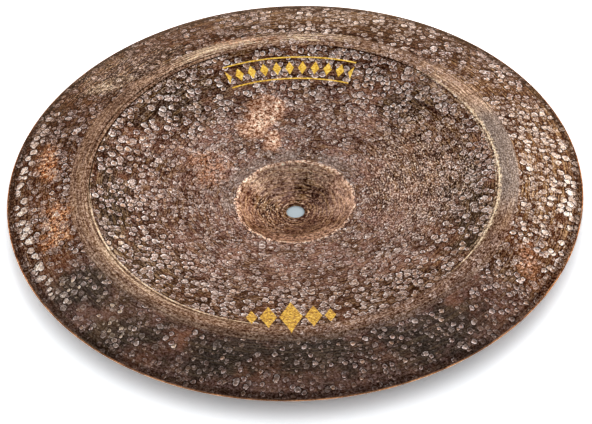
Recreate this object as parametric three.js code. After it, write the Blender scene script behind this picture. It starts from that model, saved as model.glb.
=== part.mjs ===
// China cymbal, lying bell down: a sunk bell, a shallow bow that climbs outwards,
// a raised ridge ring, and a flange that turns back down to the rim.
// One sheet of hand-hammered bronze, thinner towards the rim.
// Millimetres, +Z up, with the origin at the centre of the crown's underside.
import * as THREE from 'three';

// Plan sizes
const cymbalDiameter = 406.4; // 16 inches
const flangeWidth = 45.4;
const ridgeWidth = 13.3;
const bellDiameter = 83.4;
const seatDiameter = 22; // the flat of the crown, where the felts press
const holeDiameter = 12.7; // half an inch, for a stand's rod in its sleeve

// Climb or fall of the upper face across each zone, counted from the zone's inner edge
const bellDepth = 9.3;
const bowRise = 20.3;
const ridgeFall = 1.3;
const flangeFall = 12.1;

// How far the middle of each zone lies off the straight line between its edges
const bellSag = 1.5;
const bowSag = 1.7;
const ridgeCrown = 1;
const flangeCrown = 1;

// Sheet
const crownThickness = 1.2;
const rimThickness = 0.75;
const holeBreak = 0.3;
const rimBreak = 0.3;
const mostBreakShare = 0.3; // a broken edge takes at most this share of the sheet on each side

// Hammering: the bow and the flange are struck all over, the seat, bell and ridge are left plain
const markPitch = 14;
const markDepth = 0.35;
const softBlowShare = 0.55; // the lightest blow goes this deep, as a share of markDepth

// Counts
const bellRows = 5;
const ridgeRows = 4;
const leastAround = 60; // fewest points in a ring
const hexSides = 6; // a ring's count is a multiple of this, so the outline is centred
const strikeEvery = 3; // in a lattice of triangles every third point is the bottom of a dent
const leastRows = 2; // across a struck zone

const rimRadius = cymbalDiameter / 2;
const holeRadius = holeDiameter / 2;
const seatRadius = seatDiameter / 2;
const bellRadius = bellDiameter / 2;
const bowWidth = rimRadius - flangeWidth - ridgeWidth - bellRadius;
const holeEdge = Math.min(holeBreak, crownThickness * mostBreakShare);

// Rows of points lie half a mark apart, and the points in a row at the spacing that
// makes their triangles nearly equilateral
const rowPitch = markPitch / 2;
const pointPitch = markPitch / Math.sqrt(3);
const goldenShare = (3 - Math.sqrt(5)) / 2;

// The zones of the profile, from the hole outwards: a plain zone states its rows,
// and a struck one has as many as its marks need
const seat = { width: seatRadius - holeRadius - holeEdge, rise: 0, sag: 0, rows: 1 };
const bell = { width: bellRadius - seatRadius, rise: bellDepth, sag: bellSag, rows: bellRows };
const bow = { width: bowWidth, rise: bowRise, sag: bowSag, rows: rowsAcross(bowWidth), struck: true };
const ridge = { width: ridgeWidth, rise: -ridgeFall, sag: -ridgeCrown, rows: ridgeRows };
const flange = {
  width: flangeWidth - rimBreak,
  rise: -flangeFall,
  sag: -flangeCrown,
  rows: rowsAcross(flangeWidth),
  struck: true,
};
const zones = [seat, bell, bow, ridge, flange];

function rowsAcross(width) {
  return Math.max(leastRows, Math.round(width / rowPitch));
}

function pointsAround(radius) {
  const count = hexSides * Math.round((2 * Math.PI * radius) / pointPitch / hexSides);
  return Math.max(leastAround, count);
}

// The sheet keeps its full thickness over the seat and then thins evenly to the rim
function sheetThickness(radius) {
  const across = Math.max(radius, seatRadius);
  return THREE.MathUtils.mapLinear(across, seatRadius, rimRadius, crownThickness, rimThickness);
}

// What the hammer leaves at each point of a ring: a dent at every third point of a struck row
function hammerDents(count, struck) {
  return Array.from({ length: count }, (_, point) => {
    if (!struck || point % strikeEvery !== 0) return 0;
    return -markDepth * THREE.MathUtils.lerp(softBlowShare, 1, THREE.MathUtils.seededRandom());
  });
}

// One ring of the profile. Each zone is a parabola between its edges, and the underside
// lies below the upper face by the sheet's thickness, measured square to the slope.
function profileRing(zone, base, row, turn) {
  const share = row / zone.rows;
  const radius = base.radius + zone.width * share;
  const slope = (zone.rise - 4 * zone.sag * (1 - 2 * share)) / zone.width;
  const count = pointsAround(radius);
  const onEdge = row === 0 || row === zone.rows;
  return {
    radius,
    count,
    turn,
    upper: base.height + zone.rise * share - 4 * zone.sag * share * (1 - share),
    drop: sheetThickness(radius) * Math.hypot(1, slope),
    dents: hammerDents(count, zone.struck && !onEdge),
  };
}

// All rings from the hole to the rim. Each is turned by the golden share of a turn
// from the one before, so that the marks make no spokes.
function profileRings() {
  const base = { radius: holeRadius + holeEdge, height: crownThickness };
  const rings = [profileRing(seat, base, 0, 0)];
  for (const zone of zones) {
    for (let row = 1; row <= zone.rows; row += 1) {
      rings.push(profileRing(zone, base, row, (rings.length * goldenShare) % 1));
    }
    base.radius += zone.width;
    base.height += zone.rise;
  }
  return rings;
}

// Adds a ring's points to the shell at the given radius and heights
function layRing(positions, ring, radius, heightAt) {
  const first = positions.length / 3;
  for (let point = 0; point < ring.count; point += 1) {
    const angle = (ring.turn + point / ring.count) * 2 * Math.PI;
    positions.push(radius * Math.cos(angle), radius * Math.sin(angle), heightAt(point));
  }
  return { first, count: ring.count, turn: ring.turn };
}

// Joins two rings of any counts with a band of triangles, going once round and always
// taking the ring whose next point comes first
function stitchBand(index, from, to) {
  const start = Math.round((from.turn - to.turn) * to.count);
  const fromPoint = (step) => from.first + (step % from.count);
  const toPoint = (step) => to.first + ((((start + step) % to.count) + to.count) % to.count);
  let a = 0;
  let b = 0;
  while (a < from.count || b < to.count) {
    const nextA = from.turn + (a + 1) / from.count;
    const nextB = to.turn + (start + b + 1) / to.count;
    if (b === to.count || (a < from.count && nextA <= nextB)) {
      index.push(fromPoint(a), toPoint(b), fromPoint(a + 1));
      a += 1;
    } else {
      index.push(fromPoint(a), toPoint(b), toPoint(b + 1));
      b += 1;
    }
  }
}

// The shell is one closed loop of rings: out along the upper face, round the rim,
// back along the underside and up the wall of the hole
function plateGeometry() {
  const rings = profileRings();
  const innermost = rings[0];
  const outermost = rings[rings.length - 1];
  const positions = [];
  const loop = [
    ...rings.map((ring) => layRing(positions, ring, ring.radius, (i) => ring.upper + ring.dents[i])),
    layRing(positions, outermost, rimRadius, () => outermost.upper - outermost.drop / 2),
    ...rings.toReversed().map((ring) =>
      layRing(positions, ring, ring.radius, (i) => ring.upper - ring.drop + ring.dents[i])),
    layRing(positions, innermost, holeRadius, () => holeEdge),
    layRing(positions, innermost, holeRadius, () => crownThickness - holeEdge),
  ];
  const index = [];
  loop.forEach((ring, place) => stitchBand(index, ring, loop[(place + 1) % loop.length]));

  const geometry = new THREE.BufferGeometry();
  geometry.setAttribute('position', new THREE.Float32BufferAttribute(positions, 3));
  geometry.setIndex(index);
  geometry.computeVertexNormals();
  return geometry;
}

// Bell bronze, darkened and hand hammered
function cymbalPlate() {
  const bronze = new THREE.MeshStandardMaterial({
    color: 0x6e5647,
    roughness: 0.5,
    metalness: 0.9,
    flatShading: true,
  });
  const plate = new THREE.Mesh(plateGeometry(), bronze);
  plate.name = 'cymbal_plate';
  return plate;
}

const chinaCymbal = new THREE.Group();
chinaCymbal.name = 'china_cymbal';
chinaCymbal.add(cymbalPlate());

export default chinaCymbal;
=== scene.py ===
import math

import bpy
from mathutils import Matrix, Vector


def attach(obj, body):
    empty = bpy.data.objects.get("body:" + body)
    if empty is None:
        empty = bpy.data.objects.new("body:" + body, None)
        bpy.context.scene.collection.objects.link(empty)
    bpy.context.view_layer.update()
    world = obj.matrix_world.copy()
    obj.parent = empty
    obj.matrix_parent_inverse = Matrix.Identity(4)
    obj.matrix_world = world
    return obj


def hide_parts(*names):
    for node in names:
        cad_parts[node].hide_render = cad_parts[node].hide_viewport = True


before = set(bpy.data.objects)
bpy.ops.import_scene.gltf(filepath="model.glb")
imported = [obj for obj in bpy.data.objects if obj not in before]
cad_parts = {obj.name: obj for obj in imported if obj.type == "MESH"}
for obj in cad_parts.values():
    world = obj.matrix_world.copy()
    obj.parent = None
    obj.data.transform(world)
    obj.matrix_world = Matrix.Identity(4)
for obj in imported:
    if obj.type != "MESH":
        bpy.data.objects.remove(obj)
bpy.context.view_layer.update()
mm = 0.001


# camera: a long lens at the photograph's height, its picture turned slightly about the line of sight
camera = {
    "lens": 293.2,  # this and the sensor's width in millimetres, the rest in metres and degrees
    "sensor": 36,
    "distance": 3.4,
    "elevation": 43.18,  # above the rim's plane
    "roll": -2.34,
    "aimRight": 0.35 * mm,  # where the line of sight meets the picture plane, from the rim's centre
    "aimUp": -12.3 * mm,
    "rimHeight": 17.4 * mm,
    "farthest": 20,
}


def addCamera():
    elevation = math.radians(camera["elevation"])
    rimCentre = Vector((0, 0, camera["rimHeight"]))
    towardsCamera = Vector((0, -math.cos(elevation), math.sin(elevation)))
    pictureUp = Vector((0, math.sin(elevation), math.cos(elevation)))
    pictureRight = Vector((1, 0, 0))
    place = rimCentre + towardsCamera * camera["distance"]
    aim = rimCentre + pictureRight * camera["aimRight"] + pictureUp * camera["aimUp"]
    data = bpy.data.cameras.new("studioCamera")
    data.lens = camera["lens"]
    data.sensor_width = camera["sensor"]
    data.clip_end = camera["farthest"]
    studioCamera = bpy.data.objects.new("studioCamera", data)
    turn = (aim - place).to_track_quat("-Z", "Y").to_matrix().to_4x4()
    roll = Matrix.Rotation(math.radians(camera["roll"]), 4, "Z")
    studioCamera.matrix_world = Matrix.Translation(place) @ turn @ roll
    bpy.context.scene.collection.objects.link(studioCamera)
    bpy.context.scene.camera = studioCamera


addCamera()
print("camera set")


def addNode(tree, kind, values=(), **settings):
    # values fill the inputs in order, or by number or name from a dictionary:
    # a node or socket is linked, anything else is set
    node = tree.nodes.new(kind if "Node" in kind else "ShaderNode" + kind)
    for name, value in settings.items():
        setattr(node, name, value)
    pairs = values.items() if isinstance(values, dict) else enumerate(values)
    for key, value in pairs:
        if isinstance(value, bpy.types.Node):
            value = value.outputs[0]
        if isinstance(value, bpy.types.NodeSocket):
            tree.links.new(value, node.inputs[key])
        elif value is not None:
            node.inputs[key].default_value = value
    return node


def linear(hexColour):
    # an sRGB hex value as the linear RGBA that Blender's sockets take
    channels = [int(hexColour[i:i + 2], 16) / 255 for i in (1, 3, 5)]
    return [c / 12.92 if c <= 0.04045 else ((c + 0.055) / 1.055) ** 2.4 for c in channels] + [1]


def between(tree, value, first, last, soft):
    # 1 from first to last, with soft edges that wide
    offset = addNode(tree, "Math", [value, (first + last) / 2], operation="SUBTRACT")
    farFlangeShade = addNode(tree, "Math", [offset], operation="ABSOLUTE")
    half = (last - first) / 2
    return addNode(tree, "MapRange", [farFlangeShade, half + soft / 2, half - soft / 2],
                   interpolation_type="SMOOTHSTEP")


# hammer marks, which the plate's shape and its finish share; all in millimetres
marks = {
    # density: the share of blows that fell, and swing: how much that varies over the plate.
    # shown: how strongly the finish shows a layer near the bell, near the ridge, on the flange and
    # in the chain of marks inside the rim.
    "broad": {"spacing": 5.2, "size": 6.0, "smallest": 0.7, "density": 0.85, "swing": 0.3,
              "shift": (0, 0, 0)},
    "under": {"spacing": 7.0, "size": 5.6, "smallest": 0.6, "density": 0.58, "swing": 0.9,
              "shift": (77, 402, 0), "shown": (0.3, 0.8, 0.3, 0.9)},
    "middle": {"spacing": 6.6, "size": 5.2, "smallest": 0.6, "density": 0.5, "swing": 0.9,
               "shift": (358, 131, 0), "shown": (0.35, 0.9, 0.5, 1)},
    "fine": {"spacing": 3.7, "size": 2.9, "smallest": 0.5, "density": 0.6, "swing": 0.6,
             "shift": (91, 318, 0), "shown": (1, 0.3, 0.55, 0.1)},
    "over": {"spacing": 6.8, "size": 4.9, "smallest": 0.65, "density": 0.5, "swing": 0.8,
             "shift": (213, 57, 0), "shown": (0.4, 1, 1, 1)},
    "wobble": 1.8,  # how far a mark's outline strays from a circle
    "wobbleLength": 2.4,
    "densityLength": 40,
    "crowds": (0.3, 0.7),  # noise from the sparsest to the densest places
    "randomness": 0.85,
    "outside": 3,  # in radii of a mark
    "lightestBlow": 0.5,  # as a share of the hardest
    "chainGrowth": 0.12,  # how much larger the marks of the chain are
    "bellEdge": 41.9,
    "ridgeInner": 144.2,
    "ridgeOuter": 158.6,
    "rimEdge": 201.5,
    "bowFade": 1.6,
    "flangeFade": 2.5,
}


def struckZone(tree, radius):
    # 1 where the plate was hammered, which is the bow and the flange
    bow = between(tree, radius, marks["bellEdge"], marks["ridgeInner"], marks["bowFade"])
    flange = between(tree, radius, marks["ridgeOuter"], marks["rimEdge"], marks["flangeFade"])
    return addNode(tree, "Math", [bow, flange], operation="ADD")


def hammerMarks(tree, flat, layer):
    # flat is the place in plan. Gives how far it is from the nearest blow, as a share of that
    # mark's radius, a dish that is 1 in the mark's middle, and three random values for the blow.
    wobble = addNode(tree, "TexNoise", {"Vector": flat, "Scale": 1 / marks["wobbleLength"], "Detail": 1},
                     noise_dimensions="2D")
    centred = addNode(tree, "VectorMath", [wobble.outputs["Color"], (0.5, 0.5, 0.5)], operation="SUBTRACT")
    bent = addNode(tree, "VectorMath", [centred, (marks["wobble"],) * 3, flat], operation="MULTIPLY_ADD")
    moved = addNode(tree, "VectorMath", [bent, layer["shift"]], operation="ADD")
    blow = addNode(tree, "TexVoronoi", {"Vector": moved, "Scale": 1 / layer["spacing"],
                                        "Randomness": marks["randomness"]}, voronoi_dimensions="2D")
    chances = addNode(tree, "SeparateXYZ", [blow.outputs["Color"]]).outputs
    sizeChance, _, fallChance = chances
    largest = layer["size"] / 2 / layer["spacing"]
    reach = addNode(tree, "MapRange", [sizeChance, 0, 1, layer["smallest"] * largest, largest])
    share = addNode(tree, "Math", [blow.outputs["Distance"], reach], operation="DIVIDE")
    crowd = addNode(tree, "TexNoise", {"Vector": blow.outputs["Position"], "Detail": 1,
                                       "Scale": 1 / marks["densityLength"]}, noise_dimensions="2D")
    half = layer["swing"] / 2
    density = addNode(tree, "MapRange", [crowd, *marks["crowds"], layer["density"] - half,
                                         layer["density"] + half])
    # a blow that didn't fall leaves its place well outside its mark
    absent = addNode(tree, "Math", [fallChance, density], operation="GREATER_THAN")
    share = addNode(tree, "Math", [absent, marks["outside"], share], operation="MULTIPLY_ADD")
    square = addNode(tree, "Math", [share, 2], operation="POWER")
    dish = addNode(tree, "Math", [1, square], operation="SUBTRACT", use_clamp=True)
    return share, dish, chances


# plate: one sheet with five zones, and the hammer's marks in it
plate = {
    "rimRadius": 203.2 * mm,
    "holeRadius": 6.35 * mm,
    "seatRadius": 11 * mm,
    "crownThickness": 1.2 * mm,
    "rimThickness": 0.75 * mm,
    "edgeRound": 0.3 * mm,
    "markDepth": 0.12 * mm,
    "swell": 0.22 * mm,  # slow rise and fall that hammering leaves in the sheet
    "swellLength": 34.0,  # millimetres
}
bellRadius = 41.7 * mm
ridgeWidth = 13.3 * mm
flangeWidth = 45.4 * mm
# each zone's width, rise and sag across it, and its rows of points
zones = {
    "seat": (plate["seatRadius"] - plate["holeRadius"] - plate["edgeRound"], 0.0, 0.0, 3),
    "bell": (bellRadius - plate["seatRadius"], 9.3 * mm, 1.5 * mm, 19),
    "bow": (plate["rimRadius"] - flangeWidth - ridgeWidth - bellRadius, 20.3 * mm, 1.7 * mm, 62),
    "ridge": (ridgeWidth, -1.3 * mm, -1.0 * mm, 8),
    "flange": (flangeWidth - plate["edgeRound"], -12.1 * mm, -1.0 * mm, 28),
}
holeRows = 6  # rows that the hole leaves out
lastRow = holeRows + sum(rows for *_, rows in zones.values())


def latticeDisc(tree):
    # a disc of even triangles, with 6k points in ring k: a grid leant over by 30 degrees, from which
    # everything past the rim and inside the hole goes. Also gives a point's place and its ring.
    cells = 2 * lastRow
    grid = addNode(tree, "GeometryNodeMeshGrid", [cells, cells, cells + 1, cells + 1])
    square = addNode(tree, "SeparateXYZ", [addNode(tree, "GeometryNodeInputPosition")])
    leant = addNode(tree, "Math", [square.outputs["Y"], 0.5, square.outputs["X"]], operation="MULTIPLY_ADD")
    closer = addNode(tree, "Math", [square.outputs["Y"], math.sqrt(3) / 2], operation="MULTIPLY")
    spot = addNode(tree, "CombineXYZ", [leant, closer, 0])
    lattice = addNode(tree, "GeometryNodeSetPosition", {"Geometry": grid, "Position": spot})
    disc = addNode(tree, "GeometryNodeTriangulate", {"Mesh": lattice}, quad_method="SHORTEST_DIAGONAL")
    point = addNode(tree, "SeparateXYZ", [addNode(tree, "GeometryNodeInputPosition")])
    across = addNode(tree, "Math", [point.outputs["X"]], operation="ABSOLUTE")
    along = addNode(tree, "Math", [point.outputs["Y"]], operation="ABSOLUTE")
    slanted = addNode(tree, "Math", [along, 1 / math.sqrt(3), across], operation="MULTIPLY_ADD")
    level = addNode(tree, "Math", [along, 2 / math.sqrt(3)], operation="MULTIPLY")
    ring = addNode(tree, "Math", [slanted, level], operation="MAXIMUM")
    inHole = addNode(tree, "Math", [ring, holeRows], operation="LESS_THAN")
    pastRim = addNode(tree, "Math", [ring, lastRow], operation="GREATER_THAN")
    spare = addNode(tree, "Math", [inHole, pastRim], operation="MAXIMUM")
    upper = addNode(tree, "GeometryNodeDeleteGeometry", [disc, spare], domain="FACE")
    return upper, point, ring


def closedShell(tree, upper):
    # adds the underside and both walls: the disc pushed down in two steps, then faced outwards
    shell = upper
    chosen = None
    for step in range(2):
        shell = addNode(tree, "GeometryNodeExtrudeMesh",
                        {"Mesh": shell, "Selection": chosen, "Offset Scale": -0.5, "Individual": False},
                        mode="FACES")
        chosen = shell.outputs["Top"]
    outward = addNode(tree, "GeometryNodeFlipFaces", [shell])
    both = addNode(tree, "GeometryNodeJoinGeometry", [upper])
    tree.links.new(outward.outputs[0], both.inputs[0])
    return addNode(tree, "GeometryNodeMergeByDistance", {"Geometry": both, "Distance": 0.01})


def profile(tree, given, point, ring):
    # a point's radius and height: each zone adds its width, its rise and a parabola, which is
    # 4 times the sag at its middle, times the shares before and after the point
    radius = addNode(tree, "Math", [given["holeRadius"], given["edgeRound"]], operation="ADD")
    height = given["crownThickness"]
    start = holeRows
    for width, rise, sag, rows in zones.values():
        share = addNode(tree, "MapRange", [ring, start, start + rows])
        left = addNode(tree, "Math", [1, share], operation="SUBTRACT")
        radius = addNode(tree, "Math", [share, width, radius], operation="MULTIPLY_ADD")
        height = addNode(tree, "Math", [share, rise, height], operation="MULTIPLY_ADD")
        bulge = addNode(tree, "Math", [share, left], operation="MULTIPLY")
        height = addNode(tree, "Math", [bulge, -4 * sag, height], operation="MULTIPLY_ADD")
        start += rows

    # the sheet thins to the rim, and the middle of both walls stands proud by the edges' round
    depth = addNode(tree, "Math", [point.outputs["Z"], -1], operation="MULTIPLY")
    other = addNode(tree, "Math", [1, depth], operation="SUBTRACT")
    middle = addNode(tree, "Math", [depth, other], operation="MULTIPLY")
    outside = addNode(tree, "MapRange", [ring, holeRows, lastRow, -4, 4])
    proud = addNode(tree, "Math", [middle, outside], operation="MULTIPLY")
    radius = addNode(tree, "Math", [proud, given["edgeRound"], radius], operation="MULTIPLY_ADD")
    thickness = addNode(tree, "MapRange", [radius, given["seatRadius"], given["rimRadius"],
                                           given["crownThickness"], given["rimThickness"]])
    below = addNode(tree, "Math", [depth, thickness], operation="MULTIPLY")
    height = addNode(tree, "Math", [height, below], operation="SUBTRACT")
    return radius, height


def hammeredHeight(tree, given, plan, radius, height):
    # the marks go through the sheet, so both faces have them
    flat = addNode(tree, "VectorMath", {0: plan, "Scale": 1 / mm}, operation="SCALE")
    struck = struckZone(tree, addNode(tree, "Math", [radius, 1 / mm], operation="MULTIPLY"))
    deepest = addNode(tree, "Math", [struck, given["markDepth"]], operation="MULTIPLY")
    for name in ("broad", "over"):
        _, dish, (_, forceChance, _) = hammerMarks(tree, flat, marks[name])
        force = addNode(tree, "MapRange", {0: forceChance, 3: marks["lightestBlow"], 4: 1})
        dent = addNode(tree, "Math", [dish, force], operation="MULTIPLY")
        dent = addNode(tree, "Math", [dent, deepest], operation="MULTIPLY")
        height = addNode(tree, "Math", [height, dent], operation="SUBTRACT")
    finer = addNode(tree, "Math", [1, given["swellLength"]], operation="DIVIDE")
    swell = addNode(tree, "TexNoise", {"Vector": flat, "Scale": finer, "Detail": 1}, noise_dimensions="2D")
    offset = addNode(tree, "MapRange", [swell, 0, 1, -1, 1])
    offset = addNode(tree, "Math", [offset, struck], operation="MULTIPLY")
    return addNode(tree, "Math", [offset, given["swell"], height], operation="MULTIPLY_ADD")


def plateTree(finish):
    tree = bpy.data.node_groups.new("hammeredPlate", "GeometryNodeTree")
    inputs = {}
    for name, value in plate.items():
        socket = tree.interface.new_socket(name, in_out="INPUT", socket_type="NodeSocketFloat")
        socket.default_value = value
        inputs[name] = socket.identifier
    tree.interface.new_socket("Geometry", in_out="OUTPUT", socket_type="NodeSocketGeometry")
    given = addNode(tree, "NodeGroupInput").outputs

    upper, point, ring = latticeDisc(tree)
    closed = closedShell(tree, upper)
    radius, height = profile(tree, given, point, ring)
    base = addNode(tree, "CombineXYZ", [point.outputs["X"], point.outputs["Y"], 0])
    heading = addNode(tree, "VectorMath", [base], operation="NORMALIZE")
    plan = addNode(tree, "VectorMath", {0: heading, "Scale": radius}, operation="SCALE")
    height = hammeredHeight(tree, given, plan, radius, height)

    lifted = addNode(tree, "CombineXYZ", [0, 0, height])
    placed = addNode(tree, "VectorMath", [plan, lifted], operation="ADD")
    shaped = addNode(tree, "GeometryNodeSetPosition", {"Geometry": closed, "Position": placed})
    smooth = addNode(tree, "GeometryNodeSetShadeSmooth", {"Geometry": shaped})
    real = addNode(tree, "GeometryNodeRealizeInstances", [smooth])
    painted = addNode(tree, "GeometryNodeSetMaterial", {"Geometry": real, "Material": finish})
    addNode(tree, "NodeGroupOutput", [painted])
    return tree, inputs


def bakePlate(finish):
    # runs the node tree once, on a host that then goes, and keeps the mesh
    tree, inputs = plateTree(finish)
    host = bpy.data.objects.new("plateHost", bpy.data.meshes.new("plateHost"))
    bpy.context.scene.collection.objects.link(host)
    modifier = host.modifiers.new("hammeredPlate", "NODES")
    modifier.node_group = tree
    for name, value in plate.items():
        modifier[inputs[name]] = float(value)
    evaluated = host.evaluated_get(bpy.context.evaluated_depsgraph_get())
    mesh = bpy.data.meshes.new_from_object(evaluated)
    host.modifiers.remove(modifier)
    bpy.data.objects.remove(host)
    mesh.name = "hammeredPlate"
    piece = bpy.data.objects.new("hammeredPlate", mesh)
    bpy.context.scene.collection.objects.link(piece)
    return piece


# finish: bell bronze, cast, hammered and turned, with a dark brown skin that every blow wore paler
skin = {
    "brown": "#6c4d3f",
    "umber": "#3b2720",
    "greenBlack": "#36332e",
    "veil": "#90736a",
    "copper": "#f6cdb0",
    "russet": "#79503c",
    "rust": "#55392c",
    "olive": "#80624a",
    "orange": "#bd7848",
    "gap": "#2a1c15",
    "turned": "#dfba8c",  # golden lines that the lathe's tool left
    "mauve": "#9b8176",
    "tan": "#bc9a80",
    "grey": "#c2aea0",
    # a painted highlight on the rim of each mark
    "lip": "#fdeee4",
    "cream": "#fbe2ca",
    "bell": "#5d4036",
    # the bell wall's paler tone, a painted highlight
    "bellWallHighlight": "#b0795a",
    "bellShade": "#3c2922",
    "ridge": "#90735f",
    "ridgeGrey": "#7b7169",
    "gold": "#f0d6b4",
    "rim": "#bd8a62",
    "ink": "#cfa03c",
    "inkShade": "#98692a",
    "inkLight": "#f4c655",
}
# places in plan, in millimetres: x, y, half width, half height
skinPatches = {
    "copperPatch": [(-20, 86, 12, 12), (-27, 72, 9, 8), (-14, 62, 5, 9)],
    "peachPatch": [(-61, 34, 11, 13), (160, -86, 7, 14), (-30, 152, 20, 4)],
    "orangePatch": [(-168, -32, 9, 20), (-174, 36, 7, 18)],
    "russetPatch": [(-90, -150, 40, 14), (-20, -178, 40, 10), (52, -166, 26, 12), (118, -128, 24, 16),
                    (150, -84, 14, 26), (-168, -60, 14, 26), (-174, 20, 14, 60), (-148, 104, 16, 20),
                    (-84, 158, 24, 10)],
    "darkPatch": [(-145, -92, 26, 18), (-126, -140, 34, 16), (-53, -165, 34, 18), (8, -168, 40, 18),
                  (78, -158, 34, 18), (104, -142, 26, 16), (145, -88, 18, 20), (84, 80, 20, 14),
                  (-88, 96, 34, 22), (-170, 72, 14, 28), (122, -30, 14, 50), (-128, -10, 12, 50),
                  (-110, -82, 24, 26)],
    "gildedPatch": [(-112, 128, 46, 22), (10, 180, 70, 14), (176, 10, 18, 70), (132, 100, 20, 26),
                    (88, 24, 34, 50), (-112, -86, 26, 26), (-122, -128, 18, 14)],
    "giltPatch": [(-122, -130, 18, 14), (-150, -96, 14, 16), (-70, -156, 20, 8), (-38, 148, 26, 6),
                  (-122, -54, 14, 18)],
    # painted shade in the bell, at its far right and left of the hole
    "bellShadowPatch": [(14, 17, 14, 11), (-20, 4, 8, 12)],
    "plainPatch": [(86, 10, 34, 50), (-118, 128, 44, 26)],
    "swirlPatch": [(-132, 113, 13, 6), (-121, 118, 7, 5)],
    "dullPatch": [(-84, 0, 28, 48), (-125, 125, 54, 42), (-60, -104, 52, 24), (40, -112, 60, 22),
                  (100, 66, 26, 34)],
}
craters = [(-91, 141, 5, 5), (-99, 129, 5, 5), (-123, 118, 5, 5)]
patchEdge = {"tear": 2.4, "outside": 2.7, "inside": 1.7, "farthest": 9}
sectorFade = 8  # degrees

# noise in plan: the length of its forms in millimetres, its detail and its roughness
skinNoises = {
    "clouds": (22, 4, 0.62),
    "ragged": (13, 4, 0.6),
    "wear": (2.4, 3, 0.75),
}
# noise drawn out round the plate, in millimetres: grit in short strokes, and the lathe's long lines
strokes = {
    "gritWidth": 1.0,
    "gritLength": 1.7,
    "gritRoughness": 0.65,
    "lineRoughness": 0.6,
    "lineWidth": 1.1,
    "lineTurns": 6,  # a line is as long as its radius divided by this
    "lineSteady": 60,  # radius inside which the lines get no shorter
    "bellTear": 5,  # how ragged the bell's outline is
    "drawnWear": 1.6,  # share of wear in the streaks that run with the lathe's lines
}

# fields cut from others. An even or a soft cut rises from its first value to its second, from 0 to 1
# or between the last two. A band is 1 between its first two values, and the third is how soft its
# edges are.
skinCuts = {
    "darker": ("soft", "clouds", 0.6, 0.46),
    "lighter": ("even", "clouds", 0.36, 0.6, 0.3, 1),
    "blotched": ("soft", "ragged", 0.44, 0.54),
    "blotchDark": ("even", "ragged", 0.5, 0.4),
    "blotchPale": ("even", "ragged", 0.5, 0.6),
    "rimTorn": ("even", "ragged", 0.35, 0.6, 0.3, 0.9),
    "grainy": ("even", "grit", 0.58, 0.66),
    "line": ("soft", "lathe", 0.48, 0.62),
    "groove": ("soft", "lathe", 0.5, 0.38),
    "streaked": ("soft", "drawn", 1.32, 1.48),
    # wear, from the deepest to what is left standing
    "spotted": ("even", "wear", 0.48, 0.36),
    "worn": ("soft", "wear", 0.42, 0.6),
    "wornMiddle": ("even", "wear", 0.38, 0.56, 0.5, 1),
    "brokenLip": ("even", "wear", 0.44, 0.56, 0.1, 1),
    "cracked": ("band", "wear", 0.475, 0.525, 0.03),
    "flake": ("even", "wear", 0.455, 0.49),
    "lipTorn": ("even", "wear", 0.46, 0.56),
    "crisp": ("even", "wear", 0.57, 0.59),
    "flaked": ("band", "wear", 0.56, 0.66, 0.05),
    # rings, in millimetres from the middle
    "holeEdge": ("band", "radius", 0, 8.3, 1),
    "holeRing": ("band", "radius", 9.1, 9.6, 0.6),
    "holeGroove": ("band", "radius", 10.2, 11, 0.8),
    "bellFloor": ("band", "radius", 11, 30, 8),
    "bellSlope": ("band", "radius", 13, 42, 8),
    "onWall": ("soft", "radius", 22, 36),
    # the band of the bell's wall that takes a painted highlight on its near side
    "glow": ("band", "radius", 30, 42, 6),
    "inBell": ("soft", "torn", 44.9, 43.5),
    "bellOutline": ("band", "torn", 43, 45.2, 0.8),
    "bellHalo": ("band", "radius", 42, 52, 6),
    "onBow": ("even", "radius", 128, 84, 0.05, 0.72),
    # bands along the ridge's crests, where painted highlights lie
    "towardsRidge": ("soft", "radius", 72, 115),
    "rightCrestHighlight": ("band", "radius", 136, 161, 6),
    # the band where the right side of the inner crease takes a painted highlight
    "leftCrestHighlight": ("band", "radius", 140, 150, 4),
    "creaseHighlightBand": ("band", "radius", 141.5, 146, 1.5),
    "besideCrease": ("band", "radius", 142.4, 143.2, 0.8),
    "innerCrease": ("band", "radius", 143.8, 144.8, 0.8),
    "onRidge": ("band", "radius", 144.8, 158.2, 1.4),
    "creaseShade": ("band", "radius", 145.4, 146.2, 0.7),
    "secondLine": ("band", "radius", 147.1, 148.1, 0.8),
    # the far crest, where a painted highlight lies
    "farCrestHighlight": ("band", "radius", 148.5, 159.5, 3),
    "outerCrease": ("band", "radius", 157.2, 158.2, 0.8),
    "onFlange": ("soft", "radius", 150, 162),
    "chainRing": ("band", "radius", 188.5, 196.5, 3),
    "insideRim": ("band", "radius", 197.5, 202, 2),
    "onRim": ("soft", "radius", 202.1, 202.8),
    # a crater, in shares of its radius
    "pitEdge": ("band", "pit", 0.55, 1.15, 0.4),
    "pitMiddle": ("even", "pit", 0.45, 0.25),
    "towardsRight": ("even", "rightwards", 0, 1, 0.8, 1),
    "fewerBlows": ("even", "plainPatch", 0, 1, 1, 0.55),
}

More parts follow.
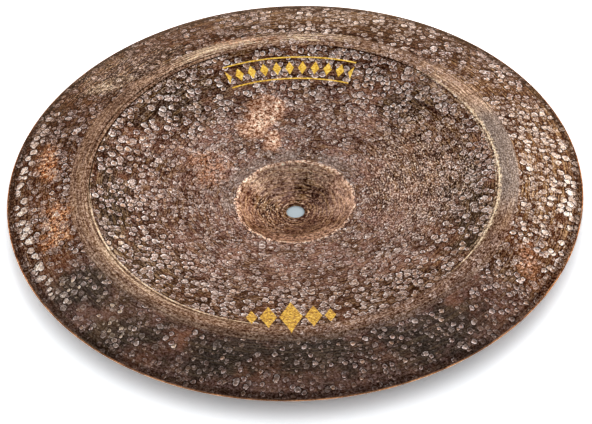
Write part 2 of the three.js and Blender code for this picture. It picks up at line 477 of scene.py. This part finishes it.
# fields made of others: each place is a strength and what limits it, and the strongest place counts.
# A limit is a field, or a sector of the plan as its direction and half width in degrees.
skinRegions = {
    "near": [(1, (-97, 60), "onFlange")],
    # the flange's far side, which takes a painted shade
    "farFlangeShade": [(1, (108, 66), "onFlange")],
    # the bell's far wall, which takes painted highlights
    "highlightedFarWall": [(1, (66, 84))],
    "litWall": [(1, (60, 74))],
    # two sides where the bell's outline takes a painted highlight
    "bellOutlineHighlightSides": [(1, (130, 40)), (1, (-110, 40))],
    # sides where the creases take a painted highlight, and where they take painted shade
    "creaseHighlightSide": [(1, (-145, 42)), (1, (5, 45))],
    "creaseShadeSide": [(1, (146, 40)), (1, (62, 14))],
    # the ridge was struck too on its far side and near right, but only lightly
    "hammered": [(1, "fewerBlows", "struck"), (0.55, (74, 34), "onRidge"), (0.275, (-62, 34), "onRidge")],
    # a chain of marks inside the rim, on the left and the right, where cream painted highlights fall
    "chain": [(1, (-8, 17), "chainRing"), (1, (184, 26), "chainRing")],
    # marks whose middles take a cream painted highlight: the chain, and sectors of the flange on the right
    # and the far side
    "bright": [(1, "chain", "towardsRight"), (0.6, (1, 21), "onFlange"), (0.6, (76, 16), "onFlange")],
}

# a value, and the ones that it turns into, each under a field; a name stands for the blend before it
skinBlends = {
    "spots": (0.35, ("near", 0.08)),
    "clearest": (0.26, ("onFlange", 0.37)),
    "lineStrength": (0.16, ("gildedPatch", "clearest"), ("near", 0.06)),
    "wallHighlight": (0.12, ("litWall", 1)),
    "outlineStrength": (0.75, ("bellOutlineHighlightSides", 1)),
    "shrinking": (1, ("near", 1.2)),
    "fewer": (1, ("near", 0.42)),
    "fainter": (1, ("dullPatch", 0.82)),
    "lipStrength": (0.95, ("near", 0.45)),
    "grain": (0.26, ("plainPatch", 0.42), ("inBell", 0.25), ("near", 0.12)),
}

# cuts of the same kinds for each layer of marks, from the share of a mark's radius and from a blow's
# random values
markCuts = {
    "warm": ("soft", "toneChance", 0.35, 0.9),
    "pale": ("soft", "sizeChance", 0.6, 1),
    "clear": ("even", "showChance", 0, 0.55, 1, 0.6),
    "markMiddle": ("soft", "share", 1.04, 0.92),
    "markHighlightLip": ("band", "share", 0.72, 0.98, 0.2),
    "markShadowEdge": ("band", "share", 0.95, 1.3, 0.2),
}

# coats of tone in the order they are laid: the tone, its strength, and what limits it
coats = {
    "ground": [
        ("umber", 0.9, "darker"),
        ("veil", 1, "onBow", "lighter"),
        ("veil", 0.5, "near", "worn"),
        ("gap", 1, "spotted", "spots"),
        ("russet", 0.65, "russetPatch", "lighter"),
        ("greenBlack", 0.8, "darkPatch"),
        ("rust", 0.62, "elsewhere"),
        ("umber", 0.4, "onFlange", (45, 62)),
        ("olive", 0.35, "gildedPatch", "lighter"),
        ("umber", 0.5, "dullPatch"),
        ("turned", 1, "line", "lineStrength"),
        ("umber", 1, "groove", "lineStrength"),
    ],
    # the ridge, left plain: mottled, paler where it is worn, darker on its near side and near right, greyer
    # on the right, and with painted highlights along its crests on the far side, the upper right and the
    # lower left
    "ridge": [
        ("ridge", 0.65, "onRidge"),
        ("umber", 0.5, "onRidge", "spotted"),
        ("grey", 0.25, "onRidge", "worn", "lighter"),
        ("umber", 0.55, "onRidge", (-46, 28)),
        ("umber", 0.3, "onRidge", (-90, 16)),
        ("umber", 0.35, "onRidge", "groove"),
        ("turned", 0.08, "onRidge", "line", "lighter"),
        ("ridgeGrey", 0.82, "onRidge", (8, 20)),
        ("gold", 0.85, "farCrestHighlight", "line", (98, 22)),
        ("tan", 0.35, "rightCrestHighlight", (37, 9), "lighter"),
        ("gold", 0.4, "rightCrestHighlight", (37, 9), "line", "lighter"),
        ("tan", 0.1, "leftCrestHighlight", (-152, 22), "lighter"),
        ("gold", 0.25, "leftCrestHighlight", (-152, 22), "line"),
        ("gold", 0.1, "onRidge", "streaked", "lighter"),
        ("mauve", 0.4, "onRidge", (-56, 32), "worn", "lighter"),
    ],
    # under the marks
    "stain": [
        ("orange", 0.8, "orangePatch", "flake"),
    ],
    "markMiddle": [
        ("tan", 1, "warm"),
        ("grey", 1, "pale"),
        ("russet", 0.35, "near"),
        ("gold", 0.6, "giltPatch", "warm"),
        # a cream painted highlight on marks in the chain and on the right and far flange
        ("cream", 1, "bright"),
    ],
    # each mark has a dark edge painted as the shadow round its rim, a paler middle that is partly worn off,
    # and a bright lip painted as the highlight on its rim, broken up by wear
    "mark": [
        ("gap", 0.9, "markShadowEdge", "here"),
        ("middleTone", 1, "markMiddle", "here", "clear", "wornMiddle"),
        ("lip", 1, "markHighlightLip", "here", "clear", "brokenLip", "lipStrength"),
    ],
    # where few blows fell
    "blotches": [
        ("umber", 0.4, "plainPatch", "blotchDark"),
        ("tan", 0.4, "plainPatch", "blotchPale", "worn"),
        ("cream", 0.4, "plainPatch", "grainy", "hammered"),
    ],
    # where the skin is rubbed through, over marks and ground alike
    "rubbed": [
        ("gap", 0.25, "cracked", "hammered"),
        ("orange", 0.45, "copperPatch"),
        ("copper", 0.75, "copperPatch", "flake", "lighter"),
        ("rust", 0.9, "copperPatch", "spotted"),
        ("rust", 0.4, "copperPatch", "darker"),
        ("cream", 0.35, "copperPatch", "flaked"),
        ("orange", 0.26, "peachPatch", "flake"),
        ("copper", 0.14, "peachPatch", "worn"),
        ("orange", 0.35, "orangePatch", "flake"),
        ("gold", 0.7, "orangePatch", "crisp"),
        ("gold", 0.4, "swirlPatch", "flake"),
        ("rust", 0.7, "swirlPatch", "spotted"),
        ("ridgeGrey", 0.6, "bellHalo", (110, 80), "lighter"),
    ],
    # a few deeper craters on the far left of the flange
    "craters": [
        ("umber", 0.7, "pitEdge"),
        ("grey", 0.8, "pitMiddle"),
    ],
    # the bell, plain: its wall takes painted highlights, fullest on the lit far side and also on the right
    # and the near side, its bottom is darker with patches of painted shade, and fine rings run round the
    # hole
    "bell": [
        # painted highlights on the wall: its paler tone, full on the lit far wall, and mauve, tan and
        # copper on the far wall and on the right
        ("bellWallHighlight", 1, "onWall", "wallHighlight"),
        ("mauve", 0.55, "bellSlope", "highlightedFarWall"),
        ("tan", 0.75, "onWall", "highlightedFarWall", "worn"),
        ("copper", 0.08, "onWall", (0, 26)),
        ("copper", 0.16, "onWall", "blotched"),
        ("copper", 0.25, "onWall", "highlightedFarWall"),
        # painted shade in the bell's dark patches
        ("bellShade", 0.85, "bellShadowPatch"),
        ("bellShade", 0.3, "darker"),
        ("bellShade", 0.45, "spotted"),
        # a painted highlight on the near side of the wall
        ("copper", 0.8, "glow", (-80, 38), "worn"),
        ("bellShade", 0.8, "holeEdge"),
        ("gold", 0.9, "holeRing", "worn"),
        ("bellShade", 0.6, "holeGroove"),
        ("gold", 0.35, "bellFloor", "grainy", (190, 60)),
        ("turned", 0.3, "line"),
        ("bellShade", 0.4, "groove"),
        ("tan", 0.45, "flaked"),
        # gold flakes on the far wall, a painted highlight
        ("gold", 0.4, "flaked", "onWall", (95, 50)),
    ],
    "bellLaidIn": [
        ("bellTone", 1, "inBell"),
        # a copper line along the bell's crest, partly worn metal and partly a painted highlight, strongest
        # on two sides
        ("copper", 1, "bellOutline", "lipTorn", "outlineStrength"),
    ],
    # painted highlights where the creases catch the light, and painted shade where they turn from it
    "creases": [
        ("gold", 0.85, "innerCrease", "creaseHighlightSide", "lighter"),
        ("gold", 0.6, "creaseHighlightBand", "worn", (0, 30)),
        ("umber", 0.6, "besideCrease", "creaseHighlightSide"),
        ("gap", 1, "innerCrease", "creaseShadeSide"),
        ("gold", 0.3, "secondLine", (-140, 30), "lighter"),
        ("gap", 0.8, "secondLine", (138, 30)),
        ("gap", 0.8, "creaseShade", (-145, 38)),
        ("umber", 0.7, "outerCrease", (75, 50)),
    ],
    # dark just inside it, then a bright bare edge
    "rim": [
        ("gap", 0.55, "insideRim"),
        ("umber", 1, "onRim"),
        ("rim", 1, "onRim", "rimTorn"),
    ],
    "ink": [
        ("inkShade", 0.8, "spotted"),
        ("inkLight", 0.9, "flaked"),
        # lighter on the far side, a painted highlight
        ("inkLight", 0.7, (90, 40)),
    ],
    "print": [
        ("inkTone", 0.95, "printed"),
    ],
}

# the skin's full contrast, in display values of red, green and blue
contrast = {
    "gain": (1.2, 1.24, 1.31),
    "offset": (-0.08, -0.107, -0.13),
    # the flange is darker and browner on its far side, a painted shade where it leans back, and cooler on
    # its near side
    "shifts": {
        "farFlangeShade": (-0.044, -0.042, -0.035),
        "near": (0.02, 0.042, 0.056),
        "inBell": (-0.022, -0.02, -0.01),
    },
    "grainFrom": 0.3,
    "grainTo": 0.7,
    "darkest": (0.06, 0.05, 0.04),
    "gamma": 2.2,
}
# how the surface takes the light: relief in millimetres, and how rough and how metallic it is
surface = {
    "relief": {"dishes": -0.36, "lathe": 0.1, "grit": 0.1, "wear": 0.14},
    "plainRoughness": 0.44,
    "markRoughness": 0.34,
    "inkMetallic": 0.2,
    "glance": (0.88, 0.73, 0.61, 1),  # what bronze reflects at a glancing angle, as a share of white light
}


def nearestPlace(tree, flat, places):
    # how far the nearest of the places is, where 1 is its edge
    nearest = patchEdge["farthest"]
    for x, y, halfWidth, halfHeight in places:
        scale = (1 / halfWidth, 1 / halfHeight, 0)
        offset = (-x / halfWidth, -y / halfHeight, 0)
        fitted = addNode(tree, "VectorMath", [flat, scale, offset], operation="MULTIPLY_ADD")
        reach = addNode(tree, "VectorMath", [fitted], operation="LENGTH").outputs["Value"]
        nearest = addNode(tree, "Math", [reach, nearest], operation="MINIMUM")
    return nearest


def patchMask(tree, flat, ragged, places):
    # 1 inside any of the places and 0 outside, with a ragged edge
    torn = addNode(tree, "Math", [ragged, patchEdge["tear"], nearestPlace(tree, flat, places)],
                   operation="MULTIPLY_ADD")
    return addNode(tree, "MapRange", [torn, patchEdge["outside"], patchEdge["inside"]],
                   interpolation_type="SMOOTHSTEP")


def sector(tree, heading, degrees, halfWidth):
    # 1 within halfWidth degrees of a direction in plan, with an edge twice sectorFade wide
    towards = (math.cos(math.radians(degrees)), math.sin(math.radians(degrees)), 0)
    along = addNode(tree, "VectorMath", [heading, towards], operation="DOT_PRODUCT").outputs["Value"]
    edges = [math.cos(math.radians(halfWidth + fade)) for fade in (sectorFade, -sectorFade)]
    return addNode(tree, "MapRange", [along, *edges], interpolation_type="SMOOTHSTEP")


# ink: two plain ornaments printed in gold, a border strip on the far side and lozenges on the near one
ink = {
    "stripRadius": 125.0,
    "stripHalfLength": 46.0,
    "stripHalfWidth": 8.5,
    "lineWidth": 1.1,
    "lozengePitch": 9.2,
    "lozenge": (3.1, 5.6),  # half length along the strip, half width across it
    # how soft the print's edges are, and how far up a face looks that takes it
    "lineEdge": 0.4,
    "lozengeEdges": (1.06, 0.94),
    "rowEdges": (1.03, 0.97),
    "facingUp": 0.5,
    # x, y, half width, half height
    "row": [(-6, -133, 8.0, 19.0), (-21.5, -133, 6.0, 13.5), (9.5, -133, 6.0, 13.5), (-33, -133, 4.0, 8.5),
            (21, -133, 4.0, 8.5)],
}


def inkMask(tree, flat, radius):
    # 1 where the gold ink lies
    place = addNode(tree, "SeparateXYZ", [flat])
    turn = addNode(tree, "Math", [place.outputs["X"], place.outputs["Y"]], operation="ARCTAN2")
    along = addNode(tree, "Math", [turn, ink["stripRadius"]], operation="MULTIPLY")
    within = between(tree, along, -ink["stripHalfLength"], ink["stripHalfLength"], ink["lineEdge"])
    halfPitch = ink["lozengePitch"] / 2
    repeated = addNode(tree, "Math", [along, -halfPitch, halfPitch], operation="WRAP")
    repeated = addNode(tree, "Math", [repeated], operation="ABSOLUTE")
    across = addNode(tree, "Math", [radius, ink["stripRadius"]], operation="SUBTRACT")
    across = addNode(tree, "Math", [across], operation="ABSOLUTE")
    line = between(tree, across, ink["stripHalfWidth"], ink["stripHalfWidth"] + ink["lineWidth"],
                   ink["lineEdge"])
    halfLength, halfWidth = ink["lozenge"]
    side = addNode(tree, "Math", [across, 1 / halfWidth], operation="MULTIPLY")
    reach = addNode(tree, "Math", [repeated, 1 / halfLength, side], operation="MULTIPLY_ADD")
    lozenge = addNode(tree, "MapRange", [reach, *ink["lozengeEdges"]])
    strip = addNode(tree, "Math", [line, lozenge], operation="MAXIMUM")
    printed = addNode(tree, "Math", [strip, within], operation="MULTIPLY")
    for x, y, halfWidth, halfHeight in ink["row"]:
        offset = addNode(tree, "VectorMath", [flat, (x, y, 0)], operation="SUBTRACT")
        fitted = addNode(tree, "VectorMath", [offset, (1 / halfWidth, 1 / halfHeight, 0)],
                         operation="MULTIPLY")
        fitted = addNode(tree, "VectorMath", [fitted], operation="ABSOLUTE")
        reach = addNode(tree, "VectorMath", [fitted, (1, 1, 0)], operation="DOT_PRODUCT").outputs["Value"]
        lozenge = addNode(tree, "MapRange", [reach, *ink["rowEdges"]])
        printed = addNode(tree, "Math", [printed, lozenge], operation="MAXIMUM")
    # the print is on the upper face alone
    facing = addNode(tree, "SeparateXYZ", [addNode(tree, "TexCoord").outputs["Normal"]])
    upper = addNode(tree, "Math", [facing.outputs["Z"], ink["facingUp"]], operation="GREATER_THAN")
    return addNode(tree, "Math", [printed, upper], operation="MULTIPLY")


def overlap(tree, fields, strength, *limits):
    # a strength times every limit, each of which is a field's name or a sector
    for limit in limits:
        mask = fields[limit] if isinstance(limit, str) else sector(tree, fields["heading"], *limit)
        strength = addNode(tree, "Math", [strength, mask], operation="MULTIPLY")
    return strength


def blend(tree, fields, value, *turns):
    # a value that turns into others, each a number or a field's name, under a field
    for mask, other in turns:
        value = addNode(tree, "MapRange", {0: fields[mask], 3: value, 4: fields.get(other, other)})
    return value


def cutFields(tree, fields, cuts):
    # adds the fields that a table of cuts names
    for name, (kind, source, *values) in cuts.items():
        if kind == "band":
            fields[name] = between(tree, fields[source], *values)
        else:
            step = "SMOOTHSTEP" if kind == "soft" else "LINEAR"
            fields[name] = addNode(tree, "MapRange", [fields[source], *values], interpolation_type=step)


def placeFields(tree):
    # where a point of the plate lies in plan, in millimetres
    place = addNode(tree, "TexCoord").outputs["Object"]
    point = addNode(tree, "SeparateXYZ", [place])
    level = addNode(tree, "CombineXYZ", [point.outputs["X"], point.outputs["Y"], 0])
    flat = addNode(tree, "VectorMath", {0: level, "Scale": 1 / mm}, operation="SCALE")
    radius = addNode(tree, "VectorMath", [flat], operation="LENGTH").outputs["Value"]
    heading = addNode(tree, "VectorMath", [flat], operation="NORMALIZE")
    rightwards = addNode(tree, "SeparateXYZ", [heading]).outputs["X"]
    return {"flat": flat, "radius": radius, "heading": heading, "rightwards": rightwards}


def addNoise(tree, fields):
    flat, radius = fields["flat"], fields["radius"]
    for name, (length, detail, roughness) in skinNoises.items():
        fields[name] = addNode(tree, "TexNoise", {"Vector": flat, "Scale": 1 / length, "Detail": detail,
                                                  "Roughness": roughness}, noise_dimensions="2D")
    # the third direction of the noise follows the radius, so its forms are drawn out round the plate
    raised = addNode(tree, "CombineXYZ", [0, 0, radius])
    along = (1 / strokes["gritLength"], 1 / strokes["gritLength"], 0)
    stroke = addNode(tree, "VectorMath", [flat, along], operation="MULTIPLY")
    stroke = addNode(tree, "VectorMath", [raised, (1 / strokes["gritWidth"],) * 3, stroke],
                     operation="MULTIPLY_ADD")
    fields["grit"] = addNode(tree, "TexNoise", {"Vector": stroke, "Scale": 1, "Detail": 2,
                                                "Roughness": strokes["gritRoughness"]})
    turns = addNode(tree, "MapRange", [radius, 0, strokes["lineSteady"], 0, strokes["lineTurns"]])
    around = addNode(tree, "VectorMath", {0: fields["heading"], "Scale": turns}, operation="SCALE")
    turned = addNode(tree, "VectorMath", [raised, (1 / strokes["lineWidth"],) * 3, around],
                     operation="MULTIPLY_ADD")
    fields["lathe"] = addNode(tree, "TexNoise", {"Vector": turned, "Scale": 1, "Detail": 2,
                                                 "Roughness": strokes["lineRoughness"]})
    fields["torn"] = addNode(tree, "Math", [fields["ragged"], strokes["bellTear"], radius],
                             operation="MULTIPLY_ADD")
    fields["drawn"] = addNode(tree, "Math", [fields["wear"], strokes["drawnWear"], fields["lathe"]],
                              operation="MULTIPLY_ADD")


def skinFields(tree):
    # all that the coats are limited by, named
    fields = placeFields(tree)
    addNoise(tree, fields)
    fields["struck"] = struckZone(tree, fields["radius"])
    fields["pit"] = nearestPlace(tree, fields["flat"], craters)
    for name, places in skinPatches.items():
        fields[name] = patchMask(tree, fields["flat"], fields["ragged"], places)
    cutFields(tree, fields, skinCuts)
    for name, parts in skinRegions.items():
        fields[name] = overlap(tree, fields, *parts[0])
        for part in parts[1:]:
            fields[name] = addNode(tree, "Math", [fields[name], overlap(tree, fields, *part)],
                                   operation="MAXIMUM")
    fields["elsewhere"] = addNode(tree, "Math", [fields["onFlange"], fields["near"]], operation="SUBTRACT",
                                  use_clamp=True)
    for name, steps in skinBlends.items():
        fields[name] = blend(tree, fields, *steps)
    growth = addNode(tree, "Math", [fields["chain"], marks["chainGrowth"]], operation="MULTIPLY")
    fields["shrinking"] = addNode(tree, "Math", [fields["shrinking"], growth], operation="SUBTRACT")
    fields["printed"] = inkMask(tree, fields["flat"], fields["radius"])
    return fields


def paintCoats(tree, fields, colour, name):
    # lays a list of coats over a colour
    for tone, *limits in coats[name]:
        above = linear(skin[tone]) if tone in skin else fields[tone]
        strength = overlap(tree, fields, *limits)
        colour = addNode(tree, "Mix", {0: strength, 6: colour, 7: above}, data_type="RGBA").outputs[2]
    return colour


def paintMarks(tree, fields, colour):
    # lays the marks over each other, and adds the field of their dishes
    dishes = 0
    for name in ("under", "middle", "fine", "over"):
        layer = marks[name]
        byBell, byRidge, byRim, inChain = layer["shown"]
        share, dish, chances = hammerMarks(tree, fields["flat"], layer)
        own = dict(fields)
        own["share"] = addNode(tree, "Math", [share, fields["shrinking"]], operation="MULTIPLY")
        own["sizeChance"], own["toneChance"], own["showChance"] = chances
        own["kept"] = addNode(tree, "Math", [own["showChance"], fields["fewer"]], operation="LESS_THAN")
        own["shown"] = blend(tree, fields, byBell, ("towardsRidge", byRidge), ("onFlange", byRim),
                             ("chain", inChain))
        own["here"] = overlap(tree, own, 1, "shown", "hammered", "kept", "fainter")
        cutFields(tree, own, markCuts)
        own["middleTone"] = paintCoats(tree, own, linear(skin["mauve"]), "markMiddle")
        colour = paintCoats(tree, own, colour, "mark")
        dented = addNode(tree, "Math", [dish, own["here"]], operation="MULTIPLY")
        dishes = addNode(tree, "Math", [dented, dishes], operation="MAXIMUM")
    fields["dishes"] = dishes
    return colour


def fullContrast(tree, fields, colour):
    # works on display values, so that the grain is as strong on dark skin as on pale
    shade = addNode(tree, "Gamma", [colour, 1 / contrast["gamma"]])
    shade = addNode(tree, "VectorMath", [shade, contrast["gain"], contrast["offset"]],
                    operation="MULTIPLY_ADD")
    for name, shift in contrast["shifts"].items():
        shifted = addNode(tree, "VectorMath", {0: shift, "Scale": fields[name]}, operation="SCALE")
        shade = addNode(tree, "VectorMath", [shade, shifted], operation="ADD")
    least = addNode(tree, "Math", [fields["grain"], -1], operation="MULTIPLY")
    grain = addNode(tree, "MapRange", [fields["grit"], contrast["grainFrom"], contrast["grainTo"], least,
                                       fields["grain"]], clamp=False)
    shade = addNode(tree, "VectorMath", [shade, grain], operation="ADD")
    shade = addNode(tree, "VectorMath", [shade, contrast["darkest"]], operation="MAXIMUM")
    return addNode(tree, "Gamma", [shade, contrast["gamma"]])


def bronzeMaterial():
    # bell bronze that was cast, hammered, turned and darkened: the hammer leaves the pale round marks,
    # the lathe the fine rings, and the warm glancing colour keeps the dark skin from looking veiled
    material = bpy.data.materials.new("darkHammeredBellBronze")
    material.use_nodes = True
    tree = material.node_tree
    tree.nodes.clear()
    fields = skinFields(tree)

    colour = linear(skin["brown"])
    for name in ("ground", "ridge", "stain"):
        colour = paintCoats(tree, fields, colour, name)
    colour = paintMarks(tree, fields, colour)
    fields["bellTone"] = paintCoats(tree, fields, linear(skin["bell"]), "bell")
    fields["inkTone"] = paintCoats(tree, fields, linear(skin["ink"]), "ink")
    for name in ("blotches", "rubbed", "craters", "bellLaidIn", "creases", "rim", "print"):
        colour = paintCoats(tree, fields, colour, name)
    colour = fullContrast(tree, fields, colour)

    height = 0
    for name, size in surface["relief"].items():
        height = addNode(tree, "Math", [fields[name], size, height], operation="MULTIPLY_ADD")
    bump = addNode(tree, "Bump", {"Strength": 1, "Distance": mm, "Height": height})
    roughness = blend(tree, fields, surface["plainRoughness"], ("dishes", surface["markRoughness"]))
    metallic = blend(tree, fields, 1, ("printed", surface["inkMetallic"]))
    shader = addNode(tree, "BsdfPrincipled",
                     {"Base Color": colour, "Metallic": metallic, "Roughness": roughness, "Normal": bump,
                      "Specular Tint": surface["glance"]})
    addNode(tree, "OutputMaterial", {"Surface": shader})
    return material


cymbal = bakePlate(bronzeMaterial())
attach(cymbal, "root")
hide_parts("cymbal_plate")
print("plate made:", len(cymbal.data.polygons), "faces")


# studio: a pale floor, a white surround with a darker ceiling, and two soft boxes behind the cymbal
studio = {
    "floorSize": 12.0,
    "floor": "#e9ecef",
    "floorShown": 2.7,  # how much brighter the floor is seen than it lights the object
    "closeShadow": 0.03,
    "shadowEdges": (0.45, 0.8),  # open share of the sky where the closer shadow is full and where it ends
    "shadowTone": 0.5,
    # a grey disc under the crown, painted as the plate's shadow seen through the hole
    "holeShadow": "#c9d6dd",
    "holeShadowRoughness": 0.95,
    "holeShadowRadius": 9.0 * mm,
    "holeShadowSides": 24,
    "holeShadowHeight": 0.05 * mm,
    "ceiling": 0.14,
    "ceilingEdges": (0.7, 0.92),  # where the surround begins and ends to darken, as the sine of the height
    "distance": 2.4,
    # name: degrees to the right of straight behind, degrees up, width, power in watts
    "boxes": {
        "backRight": (36, 36, 1.0, 6.0),
        "backHigh": (0, 60, 1.0, 4.5),
    },
}


def addHoleShadow():
    # a grey disc under the crown, a painted shadow of the plate that shows through the hole
    sides = studio["holeShadowSides"]
    reach = studio["holeShadowRadius"]
    turns = [2 * math.pi * side / sides for side in range(sides)]
    rim = [(reach * math.cos(turn), reach * math.sin(turn), studio["holeShadowHeight"]) for turn in turns]
    mesh = bpy.data.meshes.new("holeShadowDisc")
    mesh.from_pydata(rim, [], [range(sides)])
    holeShadow = bpy.data.objects.new("holeShadowDisc", mesh)
    bpy.context.scene.collection.objects.link(holeShadow)
    material = bpy.data.materials.new("holeShadowDisc")
    material.use_nodes = True
    shader = material.node_tree.nodes["Principled BSDF"]
    shader.inputs["Base Color"].default_value = linear(studio["holeShadow"])
    shader.inputs["Roughness"].default_value = studio["holeShadowRoughness"]
    mesh.materials.append(material)


def addFloor():
    half = studio["floorSize"] / 2
    corners = [(-half, -half, 0), (half, -half, 0), (half, half, 0), (-half, half, 0)]
    mesh = bpy.data.meshes.new("studioFloor")
    mesh.from_pydata(corners, [], [range(4)])
    floor = bpy.data.objects.new("studioFloor", mesh)
    bpy.context.scene.collection.objects.link(floor)
    material = bpy.data.materials.new("palePaper")
    material.use_nodes = True
    tree = material.node_tree
    tree.nodes.clear()
    # brighter to a camera, in a reflection and through glass than to the light that it passes on
    path = addNode(tree, "LightPath")
    seen = addNode(tree, "Math", [path.outputs["Is Camera Ray"], path.outputs["Is Glossy Ray"]],
                   operation="MAXIMUM")
    seen = addNode(tree, "Math", [seen, path.outputs["Is Transmission Ray"]], operation="MAXIMUM")
    brighter = addNode(tree, "MapRange", {0: seen, 3: 1, 4: studio["floorShown"]})
    # a closer shadow where the plate is just above
    sky = addNode(tree, "AmbientOcclusion", {"Distance": studio["closeShadow"]}, samples=16)
    lit = addNode(tree, "MapRange", [sky.outputs["AO"], *studio["shadowEdges"], studio["shadowTone"], 1])
    brighter = addNode(tree, "Math", [brighter, lit], operation="MULTIPLY")
    paper = addNode(tree, "VectorMath", {0: linear(studio["floor"])[:3], "Scale": brighter},
                    operation="SCALE")
    matt = addNode(tree, "BsdfDiffuse", [paper])
    # from below the floor is clear, so that the underside of the plate shows
    clear = addNode(tree, "BsdfTransparent")
    oneSided = addNode(tree, "MixShader", [addNode(tree, "NewGeometry").outputs["Backfacing"], matt, clear])
    addNode(tree, "OutputMaterial", {"Surface": oneSided})
    mesh.materials.append(material)


def addLights():
    for name, (azimuth, elevation, width, power) in studio["boxes"].items():
        around = math.radians(azimuth)
        up = math.radians(elevation)
        towards = Vector((math.sin(around) * math.cos(up), math.cos(around) * math.cos(up), math.sin(up)))
        data = bpy.data.lights.new(name, "AREA")
        data.shape = "SQUARE"
        data.size = width
        data.energy = power
        box = bpy.data.objects.new(name, data)
        box.location = towards * studio["distance"]
        box.rotation_euler = (-towards).to_track_quat("-Z", "Y").to_euler()
        bpy.context.scene.collection.objects.link(box)


def setWorld():
    world = bpy.data.worlds.new("paleStudio")
    world.use_nodes = True
    tree = world.node_tree
    tree.nodes.clear()
    direction = addNode(tree, "SeparateXYZ", [addNode(tree, "TexCoord").outputs["Generated"]])
    height = direction.outputs["Z"]
    strength = addNode(tree, "MapRange", [height, *studio["ceilingEdges"], 1, studio["ceiling"]],
                       interpolation_type="SMOOTHSTEP")
    background = addNode(tree, "Background", [(1, 1, 1, 1), strength])
    addNode(tree, "OutputWorld", [background])
    bpy.context.scene.world = world


addFloor()
addHoleShadow()
addLights()
setWorld()
bpy.context.scene.view_settings.view_transform = "Standard"
print("studio set")
